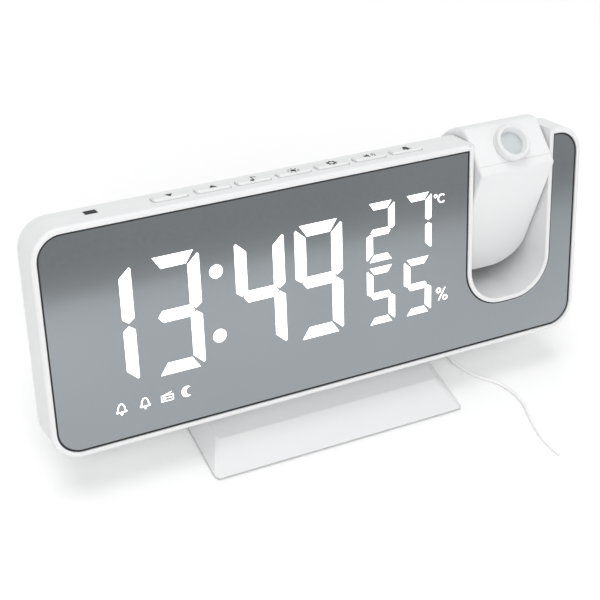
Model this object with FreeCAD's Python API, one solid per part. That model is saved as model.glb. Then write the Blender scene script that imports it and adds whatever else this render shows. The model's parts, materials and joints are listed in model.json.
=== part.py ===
import FreeCAD, Part
import math
import os
from FreeCAD import Placement, Rotation, Vector

# Projection alarm clock: a mirror-faced clock in a thin white shell, leaning back on a low foot,
# with a projector head that tilts in a U-shaped pocket at its upper right.
# Pieces of the clock are drawn in the face frame (mm): X to the right, Y back from the mirror's front,
# Z up along the mirror, origin at the mirror's centre. stand_up() then leans it back and lifts it.
# The foot and the wire are drawn standing, in the part's own frame: the table is Z = 0.

# Lean and height
lean_angle = 21.5
face_centre_height = 48.6

# Mirror panel
panel_width = 184.0
panel_height = 68.5
panel_corner = 7.5
panel_thickness = 2.0
panel_clearance = 0.25
tape_thickness = 0.3
tape_width = 3.0

# Front shell
rim_width = 1.75
rim_proud = 0.4
rim_round = 1.0
wall = 2.0
web_thickness = 1.7
front_depth = 9.5

# Rear shell
shoulder_depth = 15.5
shoulder_round = 4.0
bulge_left = -90.0
bulge_right = 86.5
bulge_half_height = 30.0
bulge_corner = 9.0
bulge_draft = 2.0
bulge_edge = 2.2
clock_depth = 30.0

# Projector pocket, seen from the front
pocket_left = 51.6
pocket_right = 81.1
pocket_bottom = -19.2
pocket_corner = 12.0
pocket_wall = 1.5
pocket_front_depth = 11.5

# Projector head, in the pose where its front lies flush with the mirror
head_side_gap = 0.5
head_pivot_y = 6.0
head_pivot_z = 18.1
head_front_top = 30.2
head_length = 45.4
head_corner = 11.5
head_top_angle = 115.5
head_drum_gap = 0.8
head_drum_end = -60.0
head_wall = 1.5
head_cover_thickness = 2.8
head_cover_skin = 1.6
head_edge_round = 1.2
head_front_round = 1.5
head_back_round = 4.0
head_hollow_round = 0.6
photo_tilt = 24.5

# Focus ring and optics, along the line square to the head's top
ring_setback = 8.7
ring_radius = 5.9
ring_height = 3.0
ring_neck_radius = 4.2
ring_neck_length = 2.5
ring_bore_radius = 3.5
ring_mouth_radius = 4.7
running_clearance = 0.06
lens_radius = 4.0
lens_thickness = 1.4
lens_dome_radius = 12.0
ring_recess = 1.8
retainer_radius = 4.75
retainer_thickness = 0.5
tube_radius = 6.0
tube_bore_radius = 5.0
tube_length = 13.5
slide_size = 6.8
slide_thickness = 1.1
slide_depth = 8.0
condenser_depth = 11.0
condenser_thickness = 2.0
led_size = 2.8
led_thickness = 1.0
led_board_width = 13.0
led_board_thickness = 1.2

# Trunnions and friction washers
trunnion_radius = 2.4
trunnion_bore = 1.2
trunnion_reach = 1.2
trunnion_inside = 3.0
washer_radius = 4.2
washer_thickness = 0.35

# Display: figures are placed from the corner where the face is read, itself placed from the panel's centre
reading_left = -92.0
reading_top = 34.25
window_left = -82.3
window_right = 43.0
window_top = 24.3
window_bottom = -28.0
window_corner = 1.5
mask_clearance = 0.3
mask_flange = 1.2
mask_flange_thickness = 1.3
diffuser_thickness = 1.4
segment_gap = 0.5
led_chip_size = 1.6
led_chip_height = 0.8
display_board_thickness = 1.6
big_bar = 3.8
big_digit_width = 16.2
big_digit_height = 38.4
big_digit_lefts = (11.0, 31.8, 59.4, 79.5)
big_digit_top = 12.8
colon_x = 53.1
colon_tops = (21.3, 42.3)
colon_radius = 2.2
small_bar = 2.4
small_digit_width = 10.4
small_digit_height = 19.6
small_digit_lefts = (104.2, 117.8)
small_digit_tops = (10.5, 32.2)
sign_boxes = ((129.2, 11.5, 4.2, 4.2), (130.0, 44.2, 4.0, 5.6))
icon_boxes = ((18.4, 56.2, 3.4, 3.9), (26.0, 56.2, 3.2, 3.9), (32.8, 56.6, 4.0, 3.4), (39.5, 56.2, 3.6, 3.9))

# Buttons along the top
button_centres = (-49.4, -35.8, -22.6, -9.1, 4.0, 17.2, 30.3)
button_names = ("down", "up", "radio", "light", "set", "volume", "alarm")
button_y = 6.2
button_length = 11.0
button_width = 4.2
button_corner = 1.2
button_proud = 0.8
button_slot_gap = 0.15
button_flange_reach = 0.7
button_flange_thickness = 0.8
button_flange_gap = 0.1
button_stem_width = 1.4
button_edge = 0.4
button_board_top = 28.6
button_board_thickness = 1.6
button_board_left = -77.0
button_board_right = 42.5
button_board_front = 4.3
button_board_depth = 6.0
switch_size = 4.4
switch_height = 2.6
switch_bore_width = 1.8
switch_bore_depth = 1.2
post_size = 3.4
post_centres = (-63.0, 40.4)
sensor_x = -73.2
sensor_y = 7.1
sensor_length = 3.8
sensor_width = 3.0

# Fasteners
case_screw_places = ((-85.0, 14.0), (-85.0, -14.0), (47.0, 20.5), (47.0, -24.8))
boss_radius = 2.5
boss_joint_depth = 12.0
screw_head_radius = 1.9
screw_head_thickness = 1.2
screw_shank_radius = 1.0
screw_well_radius = 2.1
screw_well_depth = 6.0
short_screw_length = 5.0

# Boards and parts inside the rear shell
main_board_half_width = 40.0
main_board_half_height = 22.0
main_board_front = 17.0
main_board_thickness = 1.6
main_boss_radius = 2.2
main_boss_places = ((-36.5, 18.5), (-36.5, -18.5), (36.5, 18.5), (36.5, -18.5))
chip_boxes = ((-14, -6, 12, 12, 1.6), (12, -4, 14, 12, 2.4), (-26, -3, 4, 7, 2.0))
capacitor_places = (-28, 30)
capacitor_z = -12
capacitor_radius = 2.5
capacitor_height = 5.5
speaker_x = -59.5
speaker_z = 0.0
speaker_radius = 13.5
speaker_depth = 7.5
speaker_magnet_radius = 7.5
speaker_cone_radius = 11.0
grille_hole_radius = 0.9
grille_ring_step = 3.2
grille_rings = 3
vent_count = 6
vent_left = 9.0
vent_pitch = 4.2
vent_width = 1.6
vent_bottom = 7.0
vent_height = 12.0
sensor_board_width = 14.0
sensor_board_height = 10.0

# Coin cell, its well and the twist-off cap
cell_x = -14.0
cell_z = -2.0
cell_radius = 10.0
cell_thickness = 3.2
cell_well_radius = 10.6
cell_well_wall = 1.4
cap_radius = 12.3
cap_gap = 0.15
cap_thickness = 1.9
cap_lug_reach = 1.4
cap_lug_width = 4.0
cap_lug_thickness = 0.9
cap_slot_width = 1.6
cap_slot_depth = 0.7
cap_slot_length = 15.0
cap_turn = 45.0

# Sockets on the back
socket_z = -7.0
usb_x = 17.0
usb_width = 13.2
usb_height = 5.8
usb_skin = 0.5
usb_tongue_thickness = 1.8
power_x = 32.0
power_width = 9.0
power_height = 3.3
power_skin = 0.4
socket_recess = 0.6
socket_gap = 0.2

# Foot
foot_width = 90.8
foot_depth = 50.0
foot_height = 5.2
foot_lift = 0.6
foot_front_run = 11.6
foot_side_run = 4.9
foot_back_run = 4.9
foot_skin = 1.6
foot_corner = 0.8
neck_half_width = 31.0
neck_taper = 3.0
neck_front = -2.5
neck_back = 17.0
neck_top = 24.0
foot_plate_thickness = 1.2
weight_thickness = 1.6
weight_length = 74.0
weight_width = 24.0
pad_thickness = 1.2
pad_margin = 5.0
stand_screw_places = (-20.0, 20.0)
stand_screw_depth = 21.0
stand_screw_seat = 5.0
stand_boss_length = 5.0
neck_skin = 2.0
neck_column_radius = 4.0

# Wire aerial: route points chosen by hand on the table, in the part's own frame
wire_diameter = 1.2
wire_sides = 8
grommet_x = 53.2
grommet_depth = 22.0
grommet_radius = 2.2
grommet_length = 3.5
wire_points = (
    (53.2, 6.35, 6.1),
    (53.0, 3.2, 1.3),
    (53.4, -5.4, 0.65),
    (57.6, -13.8, 0.65),
    (64.6, -19.4, 0.65),
    (67.6, -28.6, 0.65),
    (65.3, -37.6, 0.65),
    (63.9, -46.2, 0.65),
    (65.9, -53.8, 0.65),
)

housing_width = panel_width + 2 * (panel_clearance + rim_width)
housing_height = panel_height + 2 * (panel_clearance + rim_width)
housing_corner = panel_corner + panel_clearance + rim_width
housing_top = housing_height / 2
web_front = panel_thickness + tape_thickness
web_back = web_front + web_thickness
pocket_depth = clock_depth - wall
head_drum_radius = pocket_depth - head_pivot_y - head_drum_gap
beyond = housing_width
head_left = pocket_left + head_side_gap
head_right = pocket_right - head_side_gap


def to_face(place):
    """Turn a point read on the face, right and down, into face coordinates."""
    return reading_left + place[0], reading_top - place[1]


def rounded_outline(left, right, bottom, top, corner, y):
    """Closed outline of a rounded rectangle at depth y."""
    points = []
    for x, z, start in ((right, top, 0), (left, top, 90), (left, bottom, 180), (right, bottom, 270)):
        centre_x = x - corner if x == right else x + corner
        centre_z = z - corner if z == top else z + corner
        arc = []
        for turn in (0, 45, 90):
            angle = math.radians(start + turn)
            arc.append(Vector(centre_x + corner * math.cos(angle), y, centre_z + corner * math.sin(angle)))
        points.append(arc)
    edges = []
    for index, arc in enumerate(points):
        edges.append(Part.Arc(*arc).toShape())
        edges.append(Part.LineSegment(arc[2], points[(index + 1) % 4][0]).toShape())
    return Part.Wire(edges)


def rounded_block(left, right, bottom, top, corner, front, back):
    """Rounded rectangle carried from depth front to depth back."""
    outline = rounded_outline(left, right, bottom, top, corner, front)
    return Part.Face(outline).extrude(Vector(0, back - front, 0))


def u_block(left, right, bottom, corner, top, front, back):
    """Block whose front view is a U: straight sides, open square top, rounded lower corners."""
    bow = corner * (1 - math.cos(math.radians(45)))
    edges = [
        Part.LineSegment(Vector(left, front, top), Vector(left, front, bottom + corner)),
        Part.Arc(
            Vector(left, front, bottom + corner),
            Vector(left + bow, front, bottom + bow),
            Vector(left + corner, front, bottom),
        ),
        Part.LineSegment(Vector(left + corner, front, bottom), Vector(right - corner, front, bottom)),
        Part.Arc(
            Vector(right - corner, front, bottom),
            Vector(right - bow, front, bottom + bow),
            Vector(right, front, bottom + corner),
        ),
        Part.LineSegment(Vector(right, front, bottom + corner), Vector(right, front, top)),
        Part.LineSegment(Vector(right, front, top), Vector(left, front, top)),
    ]
    outline = Part.Wire([edge.toShape() for edge in edges])
    return Part.Face(outline).extrude(Vector(0, back - front, 0))


def box(left, front, bottom, right, back, top):
    """Plain block between two corners."""
    return Part.makeBox(right - left, back - front, top - bottom, Vector(left, front, bottom))


def rod(radius, x, z, front, back):
    """Round bar that runs front to back at a place on the face."""
    return Part.makeCylinder(radius, back - front, Vector(x, front, z), Vector(0, 1, 0))


def edges_at_depth(shape, y):
    """Edges of a shape that lie in the plane at depth y."""
    return [edge for edge in shape.Edges if all(abs(corner.Y - y) < 1e-4 for corner in edge.Vertexes)]


def revolved(profile, turn=360):
    """Solid of revolution about Z from (radius, height) points."""
    points = [Vector(radius, 0, height) for radius, height in profile]
    face = Part.Face(Part.makePolygon(points + [points[0]]))
    return face.revolve(Vector(0, 0, 0), Vector(0, 0, 1), turn)


def stand_up(shape):
    """Lean the clock back and lift it to its height over the table."""
    upright = shape.copy()
    lean = Rotation(Vector(1, 0, 0), -lean_angle)
    upright.Placement = Placement(Vector(0, 0, face_centre_height), lean).multiply(upright.Placement)
    return upright


def tilt_head(shape):
    """Turn a piece of the flush head to the tilt at which the clock is shown."""
    pivot = Vector(0, head_pivot_y, head_pivot_z)
    tilted = shape.copy()
    tilted.Placement = Placement(Vector(0, 0, 0), Rotation(Vector(1, 0, 0), photo_tilt), pivot).multiply(
        tilted.Placement
    )
    return tilted


def save(name, shape):
    """Write one sub-part and say how many solids it has."""
    shape.exportStep("parts/" + name + ".step")
    print(name, len(shape.Solids), round(shape.Volume, 1), shape.isValid())


def pocket_tub(inset, front, back):
    """Solid of the projector pocket's U, grown outwards by inset."""
    return u_block(
        pocket_left - inset,
        pocket_right + inset,
        pocket_bottom - inset,
        pocket_corner + inset,
        housing_top + 10,
        front,
        back,
    )


def pivot_bores():
    """Bores through both pocket walls for the head's trunnions."""
    reach = pocket_wall + 2
    bores = []
    for x in (pocket_left - reach, pocket_right - 1):
        start = Vector(x, head_pivot_y, head_pivot_z)
        bore_radius = trunnion_radius + running_clearance
        bores.append(Part.makeCylinder(bore_radius, reach + 1, start, Vector(1, 0, 0)))
    return bores


def button_outline(centre, grow, low, high):
    """Rounded block of a button or of its slot, standing along Z."""
    length = button_length / 2 + grow
    width = button_width / 2 + grow
    block = box(centre - length, button_y - width, low, centre + length, button_y + width, high)
    upright = [edge for edge in block.Edges if abs(edge.Length - (high - low)) < 1e-4]
    return block.makeFillet(button_corner + grow, upright)


def sensor_block(grow, low, high):
    """Block of the light sensor's window or of its opening."""
    length = sensor_length / 2 + grow
    width = sensor_width / 2 + grow
    return box(sensor_x - length, sensor_y - width, low, sensor_x + length, sensor_y + width, high)


def shell_block(inset, front, back):
    """Rounded block in the housing's outline, set in all round by inset."""
    half_width = housing_width / 2 - inset
    half_height = housing_height / 2 - inset
    return rounded_block(
        -half_width, half_width, -half_height, half_height, housing_corner - inset, front, back,
    )


def button_post(x):
    """Post that hangs from the top wall and carries the button board."""
    half = post_size / 2
    root = housing_top - wall + 0.5
    return box(x - half, button_y - half, button_board_top, x + half, button_y + half, root)


def front_housing():
    """White front shell: rim, web behind the mirror, top slots and the front of the pocket."""
    shell = shell_block(0, -rim_proud, front_depth)
    shell = shell.makeFillet(rim_round, edges_at_depth(shell, -rim_proud))
    seat = shell_block(rim_width, -rim_proud - 1, web_front)
    window = rounded_block(
        window_left, window_right, window_bottom, window_top, window_corner, web_front - 1, web_back + 1,
    )
    shell = shell.cut([shell_block(wall, web_back, front_depth + 1), seat, window])
    rim = pocket_tub(pocket_wall, -rim_proud, pocket_front_depth)
    shell = shell.fuse(rim.common(shell_block(0, -rim_proud, pocket_front_depth)))
    for x, z in case_screw_places:
        shell = shell.fuse(rod(boss_radius, x, z, web_back - 0.5, boss_joint_depth))
    shell = shell.fuse([button_post(x) for x in post_centres])
    cuts = [pocket_tub(0, -5, clock_depth)] + pivot_bores()
    for x, z in case_screw_places:
        cuts.append(rod(screw_shank_radius, x, z, web_back + 1, boss_joint_depth + 1))
    for centre in button_centres:
        cuts.append(button_outline(centre, button_slot_gap, housing_top - wall - 0.5, housing_top + 5))
    cuts.append(sensor_block(0, housing_top - wall - 0.5, housing_top + 5))
    cuts += [post_screw_hole(x, button_board_top) for x in post_centres]
    return shell.cut(cuts).removeSplitter()


def bulge_outline(inset, corner, y):
    """Closed outline of the rear bulge at depth y, set in all round by inset."""
    half_height = bulge_half_height - inset
    return rounded_outline(bulge_left + inset, bulge_right - inset, -half_height, half_height, corner, y)


def rear_form(inset):
    """Outer form of the rear shell, or of its hollow when inset is a wall's thickness."""
    half_width = housing_width / 2 - inset
    half_height = housing_height / 2 - inset
    front = front_depth - (1 if inset else 0)
    back = shoulder_depth - inset
    band = rounded_block(
        -half_width, half_width, -half_height, half_height, housing_corner - inset, front, back,
    )
    edges = edges_at_depth(band, back)
    size = shoulder_round - inset
    band = band.makeChamfer(size, edges) if inset else band.makeFillet(size, edges)
    end = clock_depth - inset
    bevel = bulge_edge - inset / 2
    run = bulge_draft * (end - bevel - front_depth) / (end - front_depth)
    near = bulge_outline(inset, bulge_corner, front_depth)
    middle = bulge_outline(inset + run, bulge_corner, end - bevel)
    far = bulge_outline(inset + run + bevel, bulge_corner - bevel, end)
    sides = Part.makeLoft([near, middle], True, True)
    edge_band = Part.makeLoft([middle, far], True, True)
    return band.fuse([sides, edge_band]).removeSplitter()


def grille_hole(x, z):
    """Six-sided hole through the rear wall."""
    front = clock_depth - wall - 1
    corners = []
    for index in range(7):
        angle = math.radians(60 * index)
        corners.append(Vector(
            x + grille_hole_radius * math.cos(angle), front, z + grille_hole_radius * math.sin(angle),
        ))
    return Part.Face(Part.makePolygon(corners)).extrude(Vector(0, wall + 2, 0))


def grille_holes():
    """Honeycomb holes of the speaker grille, ring by ring."""
    holes = [grille_hole(speaker_x, speaker_z)]
    for ring in range(1, grille_rings + 1):
        count = 6 * ring
        for index in range(count):
            angle = 2 * math.pi * index / count
            x = speaker_x + ring * grille_ring_step * math.cos(angle)
            z = speaker_z + ring * grille_ring_step * math.sin(angle)
            holes.append(grille_hole(x, z))
    return holes


def lug_blocks(grow, front, back, turn):
    """The cap's two bayonet lugs, or the notches that let them in."""
    reach = cap_radius + cap_lug_reach + grow
    half = cap_lug_width / 2 + grow
    bar = box(cell_x - reach, front, cell_z - half, cell_x + reach, back, cell_z + half)
    bar = bar.common(rod(reach, cell_x, cell_z, front, back))
    bar.rotate(Vector(cell_x, 0, cell_z), Vector(0, 1, 0), turn)
    return bar


def rear_cover():
    """White rear shell with a notch for the cradle, grille, vents, cell opening, sockets and bosses."""
    outer = rear_form(0)
    inner = rear_form(wall)
    shell = outer.cut(inner)
    inner_back = clock_depth - wall
    for x, z in case_screw_places:
        shell = shell.fuse(rod(boss_radius, x, z, boss_joint_depth, inner_back + 0.5))
    board_back = main_board_front + main_board_thickness
    for x, z in main_boss_places:
        shell = shell.fuse(rod(main_boss_radius, x, z, board_back, inner_back + 0.5))
    shell = shell.cut(pocket_tub(pocket_wall, front_depth - 1, clock_depth + 1))
    inner_low = -bulge_half_height + wall
    for x in stand_screw_places:
        foot = Vector(x, stand_screw_depth, inner_low)
        shell = shell.fuse(Part.makeCylinder(boss_radius, stand_boss_length, foot))
    well_front = inner_back - cap_lug_thickness - 0.4
    cuts = grille_holes()
    for index in range(vent_count):
        left = vent_left + index * vent_pitch
        vent_top = vent_bottom + vent_height
        cuts.append(box(left, inner_back - 1, vent_bottom, left + vent_width, clock_depth + 1, vent_top))
    for x, z in case_screw_places:
        cuts.append(rod(screw_shank_radius + 0.2, x, z, boss_joint_depth - 1, clock_depth + 1))
        cuts.append(rod(screw_well_radius, x, z, clock_depth - screw_well_depth, clock_depth + 1))
    for x, z in main_boss_places:
        cuts.append(rod(screw_shank_radius, x, z, board_back - 1, main_board_front + short_screw_length))
    cuts.append(rod(cap_radius + cap_gap, cell_x, cell_z, well_front, clock_depth + 1))
    cuts.append(lug_blocks(0.3, well_front, clock_depth + 1, cap_turn))
    cuts.append(socket_block(usb_x, usb_width, usb_height, inner_back - 1, clock_depth + 1, socket_gap))
    cuts.append(socket_block(power_x, power_width, power_height, inner_back - 1, clock_depth + 1, socket_gap))
    cuts.append(grommet_bore())
    for x in stand_screw_places:
        low = Vector(x, stand_screw_depth, -bulge_half_height - 1)
        cuts.append(Part.makeCylinder(screw_shank_radius, wall + stand_boss_length, low))
    return shell.cut(cuts).removeSplitter()


def projector_cradle():
    """White tub behind the pocket's rim: it fills the rear shell's notch and its back lies flush."""
    tub = pocket_tub(pocket_wall, pocket_front_depth, clock_depth).common(rear_form(0))
    return tub.cut(pocket_tub(0, front_depth, pocket_depth)).removeSplitter()


def cell_well():
    """Round well that holds the coin cell, moulded in black and clipped behind the rear wall."""
    inner_back = clock_depth - wall
    mouth = cap_radius + cap_lug_reach + 0.6
    lip = inner_back - cap_lug_thickness - 0.4
    floor = lip - cell_thickness - 1.6
    profile = [
        (0, floor), (cell_well_radius + cell_well_wall, floor),
        (cell_well_radius + cell_well_wall, lip - 1.2),
        (mouth + 1.2, lip - 1.2), (mouth + 1.2, inner_back), (mouth, inner_back), (mouth, lip),
        (cell_well_radius, lip), (cell_well_radius, floor + 1.2), (0, floor + 1.2),
    ]
    return lay_back(revolved(profile))


def lay_back(shape):
    """Turn a piece made about Z so that it points back, at the coin cell's place."""
    laid = shape.copy()
    turn = Rotation(Vector(1, 0, 0), -90)
    laid.Placement = Placement(Vector(cell_x, 0, cell_z), turn).multiply(laid.Placement)
    return laid


def socket_block(x, width, height, front, back, grow):
    """Rounded body of a socket, or its opening."""
    corner = height * 0.25
    return rounded_block(
        x - width / 2 - grow, x + width / 2 + grow,
        socket_z - height / 2 - grow, socket_z + height / 2 + grow,
        corner + grow, front, back,
    )


def grommet_bore():
    """Hole in the bulge's underside where the wire aerial comes out."""
    low = Vector(grommet_x, grommet_depth, -bulge_half_height - 2)
    return Part.makeCylinder(grommet_radius, 2 * wall + 4, low)


def mirror_panel():
    """Tinted mirror sheet, cut round the projector pocket."""
    half_width = panel_width / 2
    half_height = panel_height / 2
    sheet = rounded_block(
        -half_width, half_width, -half_height, half_height, panel_corner, 0, panel_thickness,
    )
    return sheet.cut(pocket_tub(pocket_wall + panel_clearance, -1, panel_thickness + 1))


def panel_tape():
    """Adhesive gasket between the mirror and the web."""
    half_width = panel_width / 2 - 1
    half_height = panel_height / 2 - 1
    sheet = rounded_block(
        -half_width, half_width, -half_height, half_height, panel_corner - 1, panel_thickness, web_front,
    )
    opening = rounded_block(
        -half_width + tape_width, pocket_left - pocket_wall - 2 * tape_width, -half_height + tape_width,
        half_height - tape_width, 2.0, 0, web_front + 1,
    )
    return sheet.cut([opening, pocket_tub(pocket_wall + 1, 0, web_front + 1)])


def bar_prism(x, z, length, width, upright, front, back):
    """One display bar with pointed ends, centred at x, z."""
    half = length / 2
    side = width / 2
    points = [
        (-half, 0), (-half + side, side), (half - side, side),
        (half, 0), (half - side, -side), (-half + side, -side),
    ]
    if upright:
        points = [(second, first) for first, second in points]
    corners = [Vector(x + first, front, z + second) for first, second in points]
    return Part.Face(Part.makePolygon(corners + [corners[0]])).extrude(Vector(0, back - front, 0))


def digit_bars(left, top, width, height, bar, front, back):
    """The seven bars of one figure."""
    face_left, face_top = to_face((left, top))
    near = face_left + bar / 2
    far = face_left + width - bar / 2
    centre = (near + far) / 2
    across = far - near - segment_gap
    half_rise = (height - bar) / 2
    up = half_rise - segment_gap
    bars = []
    for step in range(3):
        z = face_top - bar / 2 - step * half_rise
        bars.append(bar_prism(centre, z, across, bar, False, front, back))
    for step in range(2):
        z = face_top - bar / 2 - (step + 0.5) * half_rise
        for x in (near, far):
            bars.append(bar_prism(x, z, up, bar, True, front, back))
    return bars


def display_shapes(front, back):
    """Every lit shape of the display: figures, colon, signs and icons."""
    shapes = []
    for left in big_digit_lefts:
        shapes += digit_bars(left, big_digit_top, big_digit_width, big_digit_height, big_bar, front, back)
    for top in small_digit_tops:
        for left in small_digit_lefts:
            shapes += digit_bars(left, top, small_digit_width, small_digit_height, small_bar, front, back)
    for top in colon_tops:
        x, z = to_face((colon_x, top))
        shapes.append(rod(colon_radius, x, z, front, back))
    for left, top, width, height in sign_boxes + icon_boxes:
        x, z = to_face((left, top))
        shapes.append(box(x, front, z - height, x + width, back, z))
    return shapes


def boss_notches(front, back):
    """Room for the screw bosses in what lies beside them."""
    return [rod(boss_radius + mask_clearance, x, z, front, back) for x, z in case_screw_places]


def light_mask():
    """Black light guide: a plate with one shaft per lit shape."""
    front = web_front
    back = web_back + mask_flange_thickness
    plate = rounded_block(
        window_left + mask_clearance, window_right - mask_clearance,
        window_bottom + mask_clearance, window_top - mask_clearance,
        window_corner - mask_clearance, front, web_back,
    )
    flange = box(
        window_left - mask_flange, web_back, window_bottom - mask_flange,
        window_right + mask_flange, back, window_top + mask_flange,
    )
    cuts = display_shapes(front - 1, back + 1) + boss_notches(front - 1, back + 1)
    return plate.fuse(flange).cut(cuts).removeSplitter()


def display_diffusers():
    """Milky bars that fill the shafts right behind the mirror."""
    return Part.makeCompound(display_shapes(web_front, web_front + diffuser_thickness))


def display_board():
    """Board that closes the light guide from behind."""
    front = web_back + mask_flange_thickness
    back = front + display_board_thickness
    board = box(
        window_left - mask_flange, front, window_bottom - mask_flange,
        window_right + mask_flange, back, window_top + mask_flange,
    )
    return board.cut(boss_notches(front - 1, back + 1))


def display_leds():
    """One light chip per lit shape, on the board's front."""
    back = web_back + mask_flange_thickness
    half = led_chip_size / 2
    chips = []
    for shape in display_shapes(0, 1):
        x = shape.BoundBox.Center.x
        z = shape.BoundBox.Center.z
        chips.append(box(x - half, back - led_chip_height, z - half, x + half, back, z + half))
    return Part.makeCompound(chips)


def push_button(centre):
    """Button cap with its flange and the stem that enters the switch."""
    wall_under = housing_top - wall
    flange_top = wall_under - button_flange_gap
    flange_bottom = flange_top - button_flange_thickness
    crown = housing_top + button_proud
    cap = button_outline(centre, 0, flange_bottom, crown)
    crown_edges = [edge for edge in cap.Edges if edge.BoundBox.ZMin > crown - 1e-4]
    cap = cap.makeChamfer(button_edge, crown_edges)
    reach = button_length / 2 + button_flange_reach
    half = button_width / 2 - 0.3
    flange = box(centre - reach, button_y - half, flange_bottom, centre + reach, button_y + half, flange_top)
    tip = button_board_top + switch_height - 0.4
    side = button_stem_width / 2
    stem = box(centre - side, button_y - side, tip, centre + side, button_y + side, flange_bottom)
    return cap.fuse([flange, stem]).removeSplitter()


def button_board():
    """Long narrow board under the top wall."""
    under = button_board_top - button_board_thickness
    board = box(
        button_board_left, button_board_front, under,
        button_board_right, button_board_front + button_board_depth, button_board_top,
    )
    return board.cut([post_screw_hole(x, under) for x in post_centres])


def post_screw_hole(x, low):
    """Hole for a button board screw, from height low up into the post."""
    depth = button_board_top - button_board_thickness + short_screw_length - low
    return Part.makeCylinder(screw_shank_radius, depth, Vector(x, button_y, low))


def button_board_screws():
    """Two screws that hold the button board to its posts."""
    under = button_board_top - button_board_thickness
    screws = []
    for x in post_centres:
        low = Vector(x, button_y, under - screw_head_thickness)
        head = Part.makeCylinder(screw_head_radius, screw_head_thickness, low)
        shank = Part.makeCylinder(screw_shank_radius, short_screw_length, Vector(x, button_y, under))
        screws.append(head.fuse(shank))
    return Part.makeCompound(screws)


def button_switches():
    """Seven push switches, each with the bore that its button's stem moves in."""
    switches = []
    half = switch_size / 2
    side = switch_bore_width / 2
    top = button_board_top + switch_height
    for centre in button_centres:
        body = box(
            centre - half, button_y - 1.7, button_board_top,
            centre + half, button_y + half, top,
        )
        bore = box(
            centre - side, button_y - side, top - switch_bore_depth,
            centre + side, button_y + side, top + 1,
        )
        switches.append(body.cut(bore))
    return Part.makeCompound(switches)


def sensor_window():
    """Dark window of the light sensor, flush with the top."""
    return sensor_block(0, housing_top - wall, housing_top)


def light_sensor():
    """Light sensor that stands on the button board under its window."""
    high = housing_top - wall
    pillar = box(sensor_x - 1.6, sensor_y - 1.4, button_board_top, sensor_x + 1.6, sensor_y + 1.4, high)
    return pillar


def case_screws():
    """Screws that pull the shells together from the back."""
    seat = clock_depth - screw_well_depth
    screws = []
    for x, z in case_screw_places:
        head = rod(screw_head_radius, x, z, seat, seat + screw_head_thickness)
        slot = box(x - 1.3, seat + screw_head_thickness - 0.5, z - 0.25, x + 1.3, seat + 2, z + 0.25)
        cross = box(x - 0.25, seat + screw_head_thickness - 0.5, z - 1.3, x + 0.25, seat + 2, z + 1.3)
        shank = rod(screw_shank_radius, x, z, web_back + 1.5, seat)
        screws.append(head.cut([slot, cross]).fuse(shank))
    return Part.makeCompound(screws)


def main_board():
    """Main board on its four bosses."""
    board = box(
        -main_board_half_width, main_board_front, -main_board_half_height,
        main_board_half_width, main_board_front + main_board_thickness, main_board_half_height,
    )
    back = main_board_front + main_board_thickness
    return board.cut([rod(screw_shank_radius, x, z, main_board_front, back) for x, z in main_boss_places])


def main_board_chips():
    """Clock chip, radio module, crystal and two capacitors on the board's front."""
    chips = []
    for x, z, width, height, thickness in chip_boxes:
        front = main_board_front - thickness
        chips.append(box(x, front, z, x + width, main_board_front, z + height))
    for x in capacitor_places:
        front = main_board_front - capacitor_height
        chips.append(rod(capacitor_radius, x, capacitor_z, front, main_board_front))
    return Part.makeCompound(chips)


def main_board_screws():
    """Short screws that hold the main board."""
    screws = []
    for x, z in main_boss_places:
        head = rod(screw_head_radius, x, z, main_board_front - screw_head_thickness, main_board_front)
        shank = rod(screw_shank_radius, x, z, main_board_front, main_board_front + short_screw_length)
        screws.append(head.fuse(shank))
    return Part.makeCompound(screws)


def speaker():
    """Round speaker against the grille: basket and magnet."""
    back = clock_depth - wall
    profile = [
        (0, back - speaker_depth), (speaker_magnet_radius, back - speaker_depth),
        (speaker_magnet_radius, back - speaker_depth + 3.2), (speaker_radius - 2.5, back - 1.6),
        (speaker_radius, back - 1.6), (speaker_radius, back), (speaker_cone_radius, back),
        (speaker_magnet_radius - 1.5, back - speaker_depth + 4.0), (0, back - speaker_depth + 4.0),
    ]
    body = revolved(profile)
    body.Placement = Placement(Vector(speaker_x, 0, speaker_z), Rotation(Vector(1, 0, 0), -90))
    return body


def speaker_cone():
    """Paper cone inside the basket."""
    back = clock_depth - wall
    floor = back - speaker_depth + 4.0
    profile = [
        (0, floor), (speaker_magnet_radius - 1.5, floor), (speaker_cone_radius, back),
        (speaker_cone_radius - 0.7, back), (speaker_magnet_radius - 1.9, floor + 0.6), (2.4, floor + 0.6),
        (0, floor + 1.2),
    ]
    cone = revolved(profile)
    cone.Placement = Placement(Vector(speaker_x, 0, speaker_z), Rotation(Vector(1, 0, 0), -90))
    return cone


def sensor_board():
    """Small board with the temperature and humidity sensor, behind the vents."""
    centre = vent_left + (vent_count - 1) * vent_pitch / 2 + vent_width / 2
    half = sensor_board_width / 2
    middle = vent_bottom + vent_height / 2
    back = clock_depth - wall
    board = box(
        centre - half, back - 2.6, middle - sensor_board_height / 2,
        centre + half, back - 1.4, middle + sensor_board_height / 2,
    )
    lead = box(
        centre - 2, main_board_front + main_board_thickness, middle - 1.5,
        centre + 2, back - 2.6, middle + 1.5,
    )
    return board.fuse(lead).removeSplitter()


def coin_cell():
    """Button cell that keeps the time when the power is off."""
    lip = clock_depth - wall - cap_lug_thickness - 0.4
    floor = lip - cell_thickness - 0.4
    return rod(cell_radius, cell_x, cell_z, floor + 0.3, floor + 0.3 + cell_thickness)


def cell_contact():
    """Spring leaf under the cell and the tag that leads to the main board."""
    lip = clock_depth - wall - cap_lug_thickness - 0.4
    floor = lip - cell_thickness - 0.4
    leaf = box(cell_x - 3, floor, cell_z - 6, cell_x + 3, floor + 0.3, cell_z + 6)
    return leaf


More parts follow.
